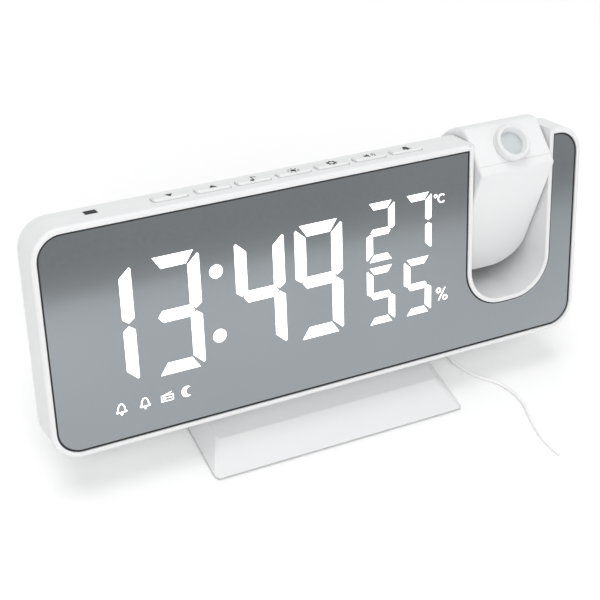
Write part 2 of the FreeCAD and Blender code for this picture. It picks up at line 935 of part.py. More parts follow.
def battery_cap():
    """Round cap with a coin slot and two bayonet lugs."""
    back = clock_depth
    front = back - cap_thickness
    disc = rod(cap_radius, cell_x, cell_z, front, back)
    disc = disc.makeChamfer(0.3, [edge for edge in edges_at_depth(disc, back)])
    slot = box(
        cell_x - cap_slot_length / 2, back - cap_slot_depth, cell_z - cap_slot_width / 2,
        cell_x + cap_slot_length / 2, back + 1, cell_z + cap_slot_width / 2,
    )
    lug_back = clock_depth - wall - 0.1
    hub = rod(cap_radius, cell_x, cell_z, lug_back - cap_lug_thickness, front)
    lugs = lug_blocks(0, lug_back - cap_lug_thickness, lug_back, 0)
    return disc.cut(slot).fuse([hub, lugs]).removeSplitter()


def usb_socket():
    """Charging socket: a metal sleeve with its tongue and block."""
    front = main_board_front + main_board_thickness
    back = clock_depth - socket_recess
    sleeve = socket_block(usb_x, usb_width, usb_height, front, back, 0)
    hollow = socket_block(usb_x, usb_width, usb_height, front + 1.5, back + 1, -usb_skin)
    tongue = box(
        usb_x - usb_width / 2 + 1.2, front + 1, socket_z + 0.2,
        usb_x + usb_width / 2 - 1.2, back - 1.0, socket_z + 0.2 + usb_tongue_thickness,
    )
    return sleeve.cut(hollow).fuse(tongue).removeSplitter()


def power_socket():
    """Power inlet: a small flat sleeve with its tongue."""
    front = main_board_front + main_board_thickness
    back = clock_depth - socket_recess
    sleeve = socket_block(power_x, power_width, power_height, front, back, 0)
    hollow = socket_block(power_x, power_width, power_height, front + 1.5, back + 1, -power_skin)
    tongue = box(power_x - 3.0, front + 1, socket_z - 0.35, power_x + 3.0, back - 1.0, socket_z + 0.35)
    return sleeve.cut(hollow).fuse(tongue).removeSplitter()


def head_top_point(along, out):
    """Point over the head's top: along from its front edge, out square to it."""
    slope = math.radians(head_top_angle - 90)
    y = along * math.cos(slope) - out * math.sin(slope)
    z = head_front_top + along * math.sin(slope) + out * math.cos(slope)
    return y, z


def top_meets_front(inset):
    """Side-view point where the head's top and front meet, both set in by inset."""
    slope = math.radians(head_top_angle - 90)
    start_y, start_z = head_top_point(0, -inset)
    return Vector(0, inset, start_z + (inset - start_y) * math.tan(slope))


def top_meets_drum(inset):
    """Side-view point where the head's top meets its drum, both set in by inset."""
    slope = math.radians(head_top_angle - 90)
    start_y, start_z = head_top_point(0, -inset)
    from_y = start_y - head_pivot_y
    from_z = start_z - head_pivot_z
    half_b = from_y * math.cos(slope) + from_z * math.sin(slope)
    rest = from_y ** 2 + from_z ** 2 - (head_drum_radius - inset) ** 2
    reach = -half_b + math.sqrt(half_b ** 2 - rest)
    return Vector(0, start_y + reach * math.cos(slope), start_z + reach * math.sin(slope))


def tangent_arc(centre, radius, first, second):
    """Arc about a centre from the direction first to the direction second."""
    first = Vector(first).normalize()
    second = Vector(second).normalize()
    middle = (first + second).normalize()
    return Part.Arc(centre + first * radius, centre + middle * radius, centre + second * radius)


def head_section(inset, front_round, back_round):
    """Side view of the flush head: front, sloped top, drum round the pivot and the tongue's root."""
    slope = math.radians(head_top_angle - 90)
    square_to_top = Vector(0, -math.sin(slope), math.cos(slope))
    pivot = Vector(0, head_pivot_y, head_pivot_z)
    radius = head_drum_radius - inset
    back_centre = top_meets_drum(inset + back_round)
    front_centre = top_meets_front(inset + front_round)
    back_corner = tangent_arc(back_centre, back_round, square_to_top, back_centre - pivot)
    front_corner = tangent_arc(front_centre, front_round, Vector(0, -1, 0), square_to_top)
    end_angle = math.radians(head_drum_end)
    end = pivot + Vector(0, math.cos(end_angle), math.sin(end_angle)) * radius
    drum = tangent_arc(pivot, radius, back_centre - pivot, end - pivot)
    root_y = max(head_cover_thickness, inset)
    run = (end.y - root_y) / -math.sin(end_angle)
    root = Vector(0, root_y, end.z - run * math.cos(end_angle))
    low = head_front_top - head_length - 1
    edges = [
        front_corner,
        Part.LineSegment(front_corner.EndPoint, back_corner.StartPoint),
        back_corner,
        drum,
        Part.LineSegment(end, root),
    ]
    if inset:
        edges.append(Part.LineSegment(root, front_corner.StartPoint))
    else:
        low_back = Vector(0, root_y, low)
        low_front = Vector(0, 0, low)
        edges.append(Part.LineSegment(root, low_back))
        edges.append(Part.LineSegment(low_back, low_front))
        edges.append(Part.LineSegment(low_front, front_corner.StartPoint))
    return Part.Wire([edge.toShape() for edge in edges])


def head_solid():
    """Whole outer form of the flush head, with its rounded edges."""
    section = Part.Face(head_section(0, head_front_round, head_back_round)).extrude(Vector(beyond, 0, 0))
    outline = u_block(
        head_left, head_right, head_front_top - head_length, head_corner,
        beyond, -1, beyond,
    )
    solid = section.common(outline)
    rounded = []
    for edge in edges_at_depth(solid, 0):
        if edge.BoundBox.ZMax < head_front_top - 2 or edge.BoundBox.ZLength > 1:
            rounded.append(edge)
    for edge in solid.Edges:
        bounds = edge.BoundBox
        on_side = bounds.XLength < 1e-3
        on_drum = bounds.YMin > 1 and edge.Length > head_drum_radius
        on_top = bounds.ZMin > head_front_top - 2 * head_front_round
        if on_side and (on_drum or on_top):
            rounded.append(edge)
    return solid.makeFillet(head_edge_round, rounded)


def along_ring(shape):
    """Put a piece made about Z on the line square to the head's top."""
    y, z = head_top_point(ring_setback, 0)
    placed = shape.copy()
    centre = (head_left + head_right) / 2
    turn = Rotation(Vector(1, 0, 0), head_top_angle - 90)
    placed.Placement = Placement(Vector(centre, y, z), turn).multiply(placed.Placement)
    return placed


def projector_front():
    """Tongue-shaped front cover of the head."""
    slab = box(0, -1, -beyond, beyond, head_cover_thickness, beyond)
    cover = head_solid().common(slab)
    relief = u_block(
        head_left + head_cover_skin, head_right - head_cover_skin,
        head_front_top - head_length + head_cover_skin, head_corner - head_cover_skin,
        head_front_top - 2.5, head_cover_skin, head_cover_thickness + 1,
    )
    return cover.cut(relief)


def projector_body():
    """Drum-backed body of the head, hollow and open to its front cover."""
    slab = box(0, head_cover_thickness, -beyond, beyond, beyond, beyond)
    body = head_solid().common(slab)
    section = head_section(head_wall, head_hollow_round, head_back_round - head_wall)
    hollow = Part.Face(section).extrude(Vector(beyond, 0, 0))
    inside = box(
        head_left + head_wall, head_cover_thickness - 1, -beyond, head_right - head_wall, beyond, beyond,
    )
    shell = body.cut(hollow.common(inside))
    barrel_hole = along_ring(Part.makeCylinder(ring_neck_radius + running_clearance, 8, Vector(0, 0, -4)))
    bores = []
    for x in (head_left - 1, head_right - head_wall - 1):
        bores.append(Part.makeCylinder(
            trunnion_radius, head_wall + 2, Vector(x, head_pivot_y, head_pivot_z), Vector(1, 0, 0),
        ))
    return shell.cut([barrel_hole] + bores)


def pivot_pins():
    """Two hollow trunnions; the lamp's leads run through the left one."""
    pins = []
    for inner, outer in (
        (head_left + trunnion_inside, pocket_left - pocket_wall - trunnion_reach),
        (head_right - trunnion_inside, pocket_right + pocket_wall + trunnion_reach),
    ):
        start = min(inner, outer)
        length = abs(inner - outer)
        origin = Vector(start, head_pivot_y, head_pivot_z)
        pin = Part.makeCylinder(trunnion_radius, length, origin, Vector(1, 0, 0))
        pins.append(pin.cut(Part.makeCylinder(trunnion_bore, length, origin, Vector(1, 0, 0))))
    return Part.makeCompound(pins)


def pivot_washers():
    """Friction washers between the head's sides and the pocket."""
    washers = []
    for x in (pocket_left, pocket_right - washer_thickness):
        origin = Vector(x, head_pivot_y, head_pivot_z)
        disc = Part.makeCylinder(washer_radius, washer_thickness, origin, Vector(1, 0, 0))
        hole_radius = trunnion_radius + running_clearance
        hole = Part.makeCylinder(hole_radius, washer_thickness, origin, Vector(1, 0, 0))
        washers.append(disc.cut(hole))
    return Part.makeCompound(washers)


def focus_ring():
    """Ring that turns on the head's top and carries the lens."""
    lift = running_clearance
    profile = [
        (ring_bore_radius, -ring_neck_length), (ring_neck_radius, -ring_neck_length),
        (ring_neck_radius, lift),
        (ring_radius, lift), (ring_radius, ring_height - 0.5), (ring_radius - 0.5, ring_height),
        (ring_mouth_radius + 0.2, ring_height), (ring_mouth_radius, ring_height - 0.2),
        (lens_radius, ring_height - ring_recess), (lens_radius, ring_height - ring_recess - lens_thickness),
        (ring_bore_radius, ring_height - ring_recess - lens_thickness),
    ]
    return along_ring(revolved(profile))


def projector_lens():
    """Front lens: a flat-backed disc whose front is domed."""
    low = ring_height - ring_recess - lens_thickness
    disc = Part.makeCylinder(lens_radius, lens_thickness, Vector(0, 0, low))
    ball = Part.makeSphere(lens_dome_radius, Vector(0, 0, low + lens_thickness - lens_dome_radius))
    return along_ring(disc.common(ball))


def ring_retainer():
    """Snap ring under the head's top that keeps the focus ring in."""
    high = -head_wall - running_clearance
    ring = Part.makeCylinder(retainer_radius, retainer_thickness, Vector(0, 0, high - retainer_thickness))
    return along_ring(ring.cut(Part.makeCylinder(ring_neck_radius, 20, Vector(0, 0, -10))))


def optics_tube():
    """Tube inside the head that holds the slide, the condenser and the lamp board."""
    low = Vector(0, 0, -head_wall - tube_length)
    tube = Part.makeCylinder(tube_radius, tube_length, low)
    return along_ring(tube.cut(Part.makeCylinder(tube_bore_radius, tube_length, low)))


def projector_slide():
    """Small glass display whose picture is thrown."""
    half = slide_size / 2
    return along_ring(box(-half, -half, -slide_depth - slide_thickness, half, half, -slide_depth))


def condenser_lens():
    """Plano-convex lens between the lamp and the slide."""
    low = -condenser_depth - condenser_thickness
    profile = [
        (0, low), (tube_bore_radius, low), (tube_bore_radius, low + 0.7),
        (tube_bore_radius * 0.5, low + condenser_thickness), (0, low + condenser_thickness),
    ]
    return along_ring(revolved(profile))


def projector_board():
    """Lamp board across the tube's end, with the lamp on it."""
    high = -head_wall - tube_length
    half = led_board_width / 2
    return along_ring(box(-half, -half, high - led_board_thickness, half, half, high))


def projector_lamp():
    """White lamp in the tube's end."""
    high = -head_wall - tube_length
    half = led_size / 2
    return along_ring(box(-half, -half, high, half, half, high + led_thickness))


def frustum(inset, low, high):
    """Foot's low plinth between two heights, with slanted front, sides and back."""
    def outline(z):
        share = (z - foot_lift) / (foot_height - foot_lift)
        left = -foot_width / 2 + inset + foot_side_run * share
        front = -foot_depth / 2 + inset + foot_front_run * share
        back = foot_depth / 2 - inset - foot_back_run * share
        corners = [
            Vector(left, front, z), Vector(-left, front, z), Vector(-left, back, z), Vector(left, back, z),
        ]
        return Part.makePolygon(corners + [corners[0]])
    return Part.makeLoft([outline(low), outline(high)], True, True)


def clock_space(shift):
    """Everything over the neck: the clock's outer form, moved down and back by shift."""
    half = housing_width / 2
    above = box(-half, -30, -bulge_half_height + shoulder_round, half, 60, 60)
    space = above.fuse([rear_form(0), shell_block(0, -rim_proud, front_depth)])
    return stand_up(space.translated(Vector(0, shift, -shift)))


def neck_block(skin):
    """Neck that cradles the clock's lower back, or its hollow when skin is a wall's thickness."""
    low = foot_height - foot_skin - 0.5
    sections = []
    for z, half in ((low, neck_half_width + neck_taper), (neck_top, neck_half_width - neck_taper)):
        side = half - skin
        front = neck_front + skin
        back = neck_back - skin
        corners = [
            Vector(-side, front, z), Vector(side, front, z), Vector(side, back, z), Vector(-side, back, z),
        ]
        sections.append(Part.makePolygon(corners + [corners[0]]))
    return Part.makeLoft(sections, True, True).cut(clock_space(skin))


def stand_screw_bar(x, radius, low, high):
    """Round bar on a foot screw's line, standing as the clock leans."""
    return stand_up(Part.makeCylinder(radius, high - low, Vector(x, stand_screw_depth, low)))


def stand_foot():
    """White foot: hollow plinth with the hollow neck that carries the clock."""
    plinth = frustum(0, foot_lift, foot_height)
    slanted = [edge for edge in plinth.Edges if edge.BoundBox.ZLength > foot_height - foot_lift - 0.01]
    plinth = plinth.makeChamfer(foot_corner, slanted)
    hollow = frustum(foot_skin, foot_lift - 0.5, foot_height - foot_skin)
    under = -bulge_half_height
    columns = [stand_screw_bar(x, neck_column_radius, under - 14, under + 5) for x in stand_screw_places]
    neck_hollow = neck_block(neck_skin).cut(columns)
    body = plinth.fuse(neck_block(0)).cut([hollow, neck_hollow])
    bores = []
    for x in stand_screw_places:
        bores.append(stand_screw_bar(x, screw_shank_radius + 0.2, under - 40, under + 5))
        bores.append(stand_screw_bar(x, screw_well_radius + 0.4, under - 40, under - stand_screw_seat))
    return body.cut(bores).removeSplitter()


def foot_plate():
    """Plate that closes the foot from below."""
    left = -foot_width / 2 + foot_skin + 0.3
    front = -foot_depth / 2 + foot_skin + 0.5
    plate = frustum(foot_skin, foot_lift, foot_lift + foot_plate_thickness)
    recess = box(
        left + pad_margin, front + pad_margin, 0, -left - pad_margin, -front - pad_margin, pad_thickness,
    )
    return plate.cut(recess)


def rubber_pad():
    """Non-slip pad that the clock rests on."""
    left = -foot_width / 2 + foot_skin + 0.3 + pad_margin
    front = -foot_depth / 2 + foot_skin + 0.5 + pad_margin
    return box(left, front, 0, -left, -front, pad_thickness)


def stand_weight():
    """Steel plate that keeps the light clock steady."""
    low = foot_lift + foot_plate_thickness
    high = low + weight_thickness
    return box(-weight_length / 2, -weight_width / 2, low, weight_length / 2, weight_width / 2, high)


def stand_screws():
    """Screws from inside the foot up into the clock's underside."""
    seat = -bulge_half_height - stand_screw_seat
    tip = -bulge_half_height + wall + stand_boss_length - 1
    screws = []
    for x in stand_screw_places:
        head = stand_screw_bar(x, screw_head_radius, seat - screw_head_thickness, seat)
        screws.append(head.fuse(stand_screw_bar(x, screw_shank_radius, seat, tip)))
    return Part.makeCompound(screws)


def aerial_grommet():
    """Short bush in the bulge's underside that the wire aerial leaves through."""
    low = -bulge_half_height - 1.0
    bush = Part.makeCylinder(grommet_radius, grommet_length, Vector(grommet_x, grommet_depth, low))
    bore = Part.makeCylinder(wire_diameter / 2, grommet_length, Vector(grommet_x, grommet_depth, low))
    return stand_up(bush.cut(bore))


def wire_route():
    """The wire's points: first the grommet's mouth, then the points laid by hand."""
    mouth = stand_up(Part.Vertex(Vector(grommet_x, grommet_depth, -bulge_half_height - 1.0))).Point
    return [mouth] + [Vector(*point) for point in wire_points]


def wire_section(centre, direction):
    """Many-sided outline of the wire, square to its direction."""
    along = Vector(direction).normalize()
    across = along.cross(Vector(1, 0, 0)).normalize()
    beside = along.cross(across)
    corners = []
    for index in range(wire_sides + 1):
        angle = 2 * math.pi * index / wire_sides
        corners.append(centre + (across * math.cos(angle) + beside * math.sin(angle)) * (wire_diameter / 2))
    return Part.makePolygon(corners)


def wire_aerial():
    """Thin wire from the grommet down to the table and forward past the foot."""
    route = wire_route()
    edges = []
    start = route[0]
    length = 0
    for index in range(1, len(route) - 1):
        before = route[index] - route[index - 1]
        after = route[index + 1] - route[index]
        turn = before.getAngle(after)
        radius = 0.45 * min(before.Length, after.Length) / math.tan(turn / 2)
        back = radius * math.tan(turn / 2)
        first = route[index] - before.normalize() * back
        last = route[index] + after.normalize() * back
        bisector = ((first + last) * 0.5 - route[index]).normalize()
        middle = route[index] + bisector * (radius / math.cos(turn / 2) - radius)
        edges.append(Part.LineSegment(start, first).toShape())
        edges.append(Part.Arc(first, middle, last).toShape())
        length += (first - start).Length + radius * turn
        start = last
        print("wire radius", index, round(radius, 1), "turn", round(math.degrees(turn)))
    edges.append(Part.LineSegment(start, route[-1]).toShape())
    length += (route[-1] - start).Length
    path = Part.Wire(edges)
    section = wire_section(route[0], route[1] - route[0])
    tube = path.makePipeShell([section], True, True)
    expected = Part.Face(section).Area * length
    share = tube.Volume / expected
    print("wire length", round(length, 1), "volume over section times length", round(share, 4))
    return tube


os.makedirs("parts", exist_ok=True)

clock_parts = {
    "front_housing": front_housing(),
    "rear_cover": rear_cover(),
    "projector_cradle": projector_cradle(),
    "mirror_panel": mirror_panel(),
    "panel_tape": panel_tape(),
    "light_mask": light_mask(),
    "display_diffusers": display_diffusers(),
    "display_board": display_board(),
    "display_leds": display_leds(),
    "button_board": button_board(),
    "button_board_screws": button_board_screws(),
    "button_switches": button_switches(),
    "sensor_window": sensor_window(),
    "light_sensor": light_sensor(),
    "case_screws": case_screws(),
    "main_board": main_board(),
    "main_board_chips": main_board_chips(),
    "main_board_screws": main_board_screws(),
    "speaker": speaker(),
    "speaker_cone": speaker_cone(),
    "sensor_board": sensor_board(),
    "cell_well": cell_well(),
    "coin_cell": coin_cell(),
    "cell_contact": cell_contact(),
    "battery_cap": battery_cap(),
    "usb_socket": usb_socket(),
    "power_socket": power_socket(),
    "pivot_washers": pivot_washers(),
}
for name, centre in zip(button_names, button_centres):
    clock_parts["button_" + name] = push_button(centre)

head_parts = {
    "projector_front": projector_front(),
    "projector_body": projector_body(),
    "pivot_pins": pivot_pins(),
    "focus_ring": focus_ring(),
    "projector_lens": projector_lens(),
    "ring_retainer": ring_retainer(),
    "optics_tube": optics_tube(),
    "projector_slide": projector_slide(),
    "condenser_lens": condenser_lens(),
    "projector_lamp": projector_lamp(),
    "projector_board": projector_board(),
}

standing_parts = {
    "stand_foot": stand_foot(),
    "foot_plate": foot_plate(),
    "rubber_pad": rubber_pad(),
    "stand_weight": stand_weight(),
    "stand_screws": stand_screws(),
    "aerial_grommet": aerial_grommet(),
    "wire_aerial": wire_aerial(),
}

for name, shape in clock_parts.items():
    save(name, stand_up(shape))
for name, shape in head_parts.items():
    save(name, stand_up(tilt_head(shape)))
for name, shape in standing_parts.items():
    save(name, shape)
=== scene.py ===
import json
import math

import bmesh
import bpy
from mathutils import Matrix, Vector


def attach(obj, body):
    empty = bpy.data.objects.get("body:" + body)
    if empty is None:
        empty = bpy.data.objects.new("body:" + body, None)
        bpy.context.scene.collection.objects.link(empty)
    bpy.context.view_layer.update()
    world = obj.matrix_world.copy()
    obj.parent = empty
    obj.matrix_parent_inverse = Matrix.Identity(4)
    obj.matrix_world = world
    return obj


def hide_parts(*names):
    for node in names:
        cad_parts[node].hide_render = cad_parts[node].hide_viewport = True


# Looks of the projection alarm clock: finishes, lit figures, printed symbols and the wire aerial.
# Shapes on the clock are given in the face frame (mm): x right, y back from the mirror's front,
# z up along the mirror, from the mirror's centre. onFace turns them into the part's own frame.

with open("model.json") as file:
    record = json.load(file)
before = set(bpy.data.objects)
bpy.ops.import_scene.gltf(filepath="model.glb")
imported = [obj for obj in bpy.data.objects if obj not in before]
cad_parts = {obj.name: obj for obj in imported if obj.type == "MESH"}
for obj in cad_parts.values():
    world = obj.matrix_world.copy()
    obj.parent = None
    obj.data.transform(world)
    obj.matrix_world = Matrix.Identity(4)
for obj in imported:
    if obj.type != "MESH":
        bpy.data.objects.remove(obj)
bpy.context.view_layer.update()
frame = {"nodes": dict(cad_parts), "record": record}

mm = 0.001
leanAngle = math.radians(21.5)
faceHeight = 48.6

panel = {"halfWidth": 92.0, "halfHeight": 34.25, "corner": 7.5}


def onFace(x, y, z):
    return Vector((
        x,
        y * math.cos(leanAngle) + z * math.sin(leanAngle),
        -y * math.sin(leanAngle) + z * math.cos(leanAngle) + faceHeight,
    )) * mm


def linearColour(hexText):
    channels = []
    for start in (0, 2, 4):
        value = int(hexText[start:start + 2], 16) / 255
        channels.append(value / 12.92 if value <= 0.04045 else ((value + 0.055) / 1.055) ** 2.4)
    return (*channels, 1.0)


# Nodes of a material. A setting that names a socket sets it, and any other sets the node's own property.
def addNode(tree, kind, settings, links):
    node = tree.nodes.new(kind)
    for key, value in settings.items():
        if isinstance(key, int) or key in node.inputs:
            node.inputs[key].default_value = value
        else:
            setattr(node, key, value)
    for key, (source, output) in links.items():
        tree.links.new(source.outputs[output], node.inputs[key])
    return node


def newMaterial(name):
    material = bpy.data.materials.new(name)
    material.use_nodes = True
    material.node_tree.nodes.clear()
    return material, material.node_tree


def finishMaterial(tree, shader):
    addNode(tree, "ShaderNodeOutputMaterial", {}, {"Surface": (shader, 0)})


# Noise over the object, whose patches are about size mm wide
def patches(tree, size, detail):
    place = addNode(tree, "ShaderNodeTexCoord", {}, {})
    return addNode(tree, "ShaderNodeTexNoise", {"Scale": 1 / (size * mm), "Detail": detail},
                   {"Vector": (place, "Object")})


# Moulded, pressed or cast surface: slow colour drift, uneven gloss and a fine grain on rounded edges
moulding = {
    "driftDetail": 2.0, "grainDetail": 3.0, "glossSpread": 0.05, "edgeSamples": 4, "grainDepth": 0.02,
}


def mouldedMaterial(name, look):
    material, tree = newMaterial(name)
    drift = patches(tree, look["driftSize"], moulding["driftDetail"])
    grain = patches(tree, look["grainSize"], moulding["grainDetail"])
    colour = addNode(tree, "ShaderNodeMix",
                     {"data_type": "RGBA", 6: linearColour(look["colour"]),
                      7: linearColour(look["shade"])},
                     {0: (drift, "Fac")})
    gloss = addNode(tree, "ShaderNodeMapRange",
                    {"To Min": look["roughness"] - moulding["glossSpread"],
                     "To Max": look["roughness"] + moulding["glossSpread"]},
                    {"Value": (grain, "Fac")})
    edge = addNode(tree, "ShaderNodeBevel",
                   {"samples": moulding["edgeSamples"], "Radius": look["edge"] * mm}, {})
    bump = addNode(tree, "ShaderNodeBump",
                   {"Strength": look["bump"], "Distance": moulding["grainDepth"] * mm},
                   {"Height": (grain, "Fac"), "Normal": (edge, 0)})
    shader = addNode(tree, "ShaderNodeBsdfPrincipled",
                     {"Metallic": look["metal"], "IOR": look["ior"]},
                     {"Base Color": (colour, 2), "Roughness": (gloss, 0), "Normal": (bump, 0)})
    finishMaterial(tree, shader)
    return material


# Each look is a real material of the clock. Sizes are in mm: driftSize of its patches of colour,
# grainSize of its grain and edge of the rounding on its corners.
looks = {
    # ABS from a fine spark-eroded mould: bright white, satin, with a faint grain
    "white_abs": {
        "colour": "E9EAEA", "shade": "E4E5E6", "driftSize": 40, "roughness": 0.36, "grainSize": 0.35,
        "bump": 0.12, "edge": 0.35, "metal": 0.0, "ior": 1.52,
    },
    # ABS of the buttons from a smoother mould: a little glossier and greyer than the shell
    "button_abs": {
        "colour": "E6E7E7", "shade": "E0E2E2", "driftSize": 12, "roughness": 0.30, "grainSize": 0.3,
        "bump": 0.08, "edge": 0.25, "metal": 0.0, "ior": 1.52,
    },
    # ABS with carbon black, left as moulded inside: matt and nearly black
    "black_abs": {
        "colour": "17181A", "shade": "202124", "driftSize": 10, "roughness": 0.6, "grainSize": 0.3,
        "bump": 0.2, "edge": 0.2, "metal": 0.0, "ior": 1.5,
    },
    # opal acrylic, cast: milky white with a soft shine
    "diffuser": {
        "colour": "F2F5F7", "shade": "E8ECEF", "driftSize": 5, "roughness": 0.45, "grainSize": 0.2,
        "bump": 0.05, "edge": 0.1, "metal": 0.0, "ior": 1.49,
    },
    # phosphor in silicone, dropped over the light chip: pale yellow
    "led": {
        "colour": "F3E9B8", "shade": "E6D38C", "driftSize": 1, "roughness": 0.4, "grainSize": 0.1,
        "bump": 0.1, "edge": 0.05, "metal": 0.0, "ior": 1.5,
    },
    # glass-fibre board under green resist: its weave shows faintly
    "circuit_board": {
        "colour": "12502F", "shade": "0D3F26", "driftSize": 6, "roughness": 0.4, "grainSize": 0.5,
        "bump": 0.25, "edge": 0.1, "metal": 0.0, "ior": 1.5,
    },
    # closed-cell foam, die-cut: black, without shine
    "foam_tape": {
        "colour": "141414", "shade": "1F1F1F", "driftSize": 3, "roughness": 0.9, "grainSize": 0.25,
        "bump": 0.6, "edge": 0.05, "metal": 0.0, "ior": 1.4,
    },
    # nickel-plated steel, drawn and turned: bright, with fine marks
    "steel": {
        "colour": "B9BBBD", "shade": "A4A6A8", "driftSize": 4, "roughness": 0.28, "grainSize": 0.15,
        "bump": 0.15, "edge": 0.1, "metal": 1.0, "ior": 2.5,
    },
    # paper pulp, pressed and dyed: dark, rough and fibrous
    "paper_cone": {
        "colour": "1B1A19", "shade": "272523", "driftSize": 4, "roughness": 0.85, "grainSize": 0.4,
        "bump": 0.7, "edge": 0.1, "metal": 0.0, "ior": 1.4,
    },
    # dark epoxy cast over the sensor: a small glossy brown-black window
    "sensor_plastic": {
        "colour": "1C1311", "shade": "261916", "driftSize": 3, "roughness": 0.2, "grainSize": 0.2,
        "bump": 0.05, "edge": 0.1, "metal": 0.0, "ior": 1.55,
    },
    # natural nylon, moulded: creamy and slightly waxy
    "nylon": {
        "colour": "DEDACE", "shade": "D2CDBF", "driftSize": 4, "roughness": 0.5, "grainSize": 0.25,
        "bump": 0.15, "edge": 0.05, "metal": 0.0, "ior": 1.53,
    },
    # rubber, moulded: dark grey, dusty matt
    "rubber": {
        "colour": "232323", "shade": "2E2E2D", "driftSize": 8, "roughness": 0.8, "grainSize": 0.4,
        "bump": 0.5, "edge": 0.3, "metal": 0.0, "ior": 1.5,
    },
    # PVC insulation, drawn over the wire: white, faintly mottled
    "wire_jacket": {
        "colour": "F8F8F7", "shade": "F0F1EF", "driftSize": 9, "roughness": 0.42, "grainSize": 0.4,
        "bump": 0.12, "edge": 0.05, "metal": 0.0, "ior": 1.53,
    },
}


# Smoke-tinted acrylic with a half-silvered back: a mirror with faint waves from the sheet's rolling.
mirrorLook = {
    "colour": "8F9498", "shade": "9EA3A6", "waveSize": 60, "waveDetail": 1.0, "waveStrength": 0.05,
    "waveDepth": 0.05, "dustSize": 1.5, "dustDetail": 4.0, "leastHaze": 0.05, "mostHaze": 0.09,
}


def mirrorMaterial(name):
    material, tree = newMaterial(name)
    wave = patches(tree, mirrorLook["waveSize"], mirrorLook["waveDetail"])
    dust = patches(tree, mirrorLook["dustSize"], mirrorLook["dustDetail"])
    tint = addNode(tree, "ShaderNodeMix",
                   {"data_type": "RGBA", 6: linearColour(mirrorLook["colour"]),
                    7: linearColour(mirrorLook["shade"])},
                   {0: (wave, "Fac")})
    haze = addNode(tree, "ShaderNodeMapRange",
                   {"To Min": mirrorLook["leastHaze"], "To Max": mirrorLook["mostHaze"]},
                   {"Value": (dust, "Fac")})
    bump = addNode(tree, "ShaderNodeBump",
                   {"Strength": mirrorLook["waveStrength"], "Distance": mirrorLook["waveDepth"] * mm},
                   {"Height": (wave, "Fac")})
    shader = addNode(tree, "ShaderNodeBsdfPrincipled", {"Metallic": 1.0},
                     {"Base Color": (tint, 2), "Roughness": (haze, 0), "Normal": (bump, 0)})
    finishMaterial(tree, shader)
    return material


# Optical glass, ground and polished, under a pale coating: it shines, and little shows through it.
lensLook = {
    "colour": "E6ECEE", "ior": 1.5, "transmission": 0.3, "coat": 0.4,
    "dustSize": 0.8, "dustDetail": 3.0, "leastHaze": 0.02, "mostHaze": 0.08,
}


def glassMaterial(name):
    material, tree = newMaterial(name)
    dust = patches(tree, lensLook["dustSize"], lensLook["dustDetail"])
    haze = addNode(tree, "ShaderNodeMapRange",
                   {"To Min": lensLook["leastHaze"], "To Max": lensLook["mostHaze"]},
                   {"Value": (dust, "Fac")})
    shader = addNode(tree, "ShaderNodeBsdfPrincipled",
                     {"Base Color": linearColour(lensLook["colour"]), "IOR": lensLook["ior"],
                      "Transmission Weight": lensLook["transmission"], "Coat Weight": lensLook["coat"]},
                     {"Roughness": (haze, 0)})
    finishMaterial(tree, shader)
    return material


# White light through the mirror, uneven from bar to bar as the lamps behind it are.
glowLook = {"colour": "FFFFFF", "roughness": 0.4, "patchSize": 6, "patchDetail": 1.0,
            "dimmest": 1.5, "brightest": 2.0}


def glowMaterial(name):
    material, tree = newMaterial(name)
    spread = patches(tree, glowLook["patchSize"], glowLook["patchDetail"])
    level = addNode(tree, "ShaderNodeMapRange",
                    {"To Min": glowLook["dimmest"], "To Max": glowLook["brightest"]},
                    {"Value": (spread, "Fac")})
    shader = addNode(tree, "ShaderNodeBsdfPrincipled",
                     {"Base Color": linearColour(glowLook["colour"]), "Roughness": glowLook["roughness"],
                      "Emission Color": linearColour(glowLook["colour"])},
                     {"Emission Strength": (level, 0)})
    finishMaterial(tree, shader)
    return material


# Pad-printed ink: flat and matt, slightly uneven where the pad left less of it.
inkLook = {"patchSize": 0.5, "patchDetail": 3.0, "roughness": 0.55}


def inkMaterial(name, dark, light):
    material, tree = newMaterial(name)
    patch = patches(tree, inkLook["patchSize"], inkLook["patchDetail"])
    colour = addNode(tree, "ShaderNodeMix",
                     {"data_type": "RGBA", 6: linearColour(dark), 7: linearColour(light)},
                     {0: (patch, "Fac")})
    shader = addNode(tree, "ShaderNodeBsdfPrincipled", {"Roughness": inkLook["roughness"]},
                     {"Base Color": (colour, 2)})
    finishMaterial(tree, shader)
    return material


materials = {slotName: mouldedMaterial(slotName, look) for slotName, look in looks.items()}
materials["mirror"] = mirrorMaterial("tinted_mirror")
materials["optical_glass"] = glassMaterial("optical_glass")
glowWhite = glowMaterial("lit_white")
printBlack = inkMaterial("black_ink", "1E2022", "313335")
# The black line along the mirror's edge and round the pocket takes the same flat, matt shader, in a
# darker black.
borderBlack = inkMaterial("black_border", "0C0D0E", "1A1B1C")

for entry in frame["record"]["subparts"]:
    frame["nodes"][entry["node"]].material_slots[0].material = materials[entry["material_slot"]]
print("materials set")


# A closed outline on the face, given as (x, z) points, carried from depth front to depth back.
def addPrism(mesh, points, front, back, placePoint):
    near = [mesh.verts.new(placePoint(x, front, z)) for x, z in points]
    far = [mesh.verts.new(placePoint(x, back, z)) for x, z in points]
    mesh.faces.new(near)
    mesh.faces.new(list(reversed(far)))
    count = len(points)
    for index in range(count):
        following = (index + 1) % count
        mesh.faces.new((near[index], far[index], far[following], near[following]))


def meshPiece(name, outlines, front, back, material, body, placePoint=onFace):
    mesh = bmesh.new()
    for outline in outlines:
        addPrism(mesh, outline, front, back, placePoint)
    bmesh.ops.recalc_face_normals(mesh, faces=mesh.faces)
    data = bpy.data.meshes.new(name)
    mesh.to_mesh(data)
    mesh.free()
    data.materials.append(material)
    piece = bpy.data.objects.new(name, data)
    bpy.context.scene.collection.objects.link(piece)
    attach(piece, body)


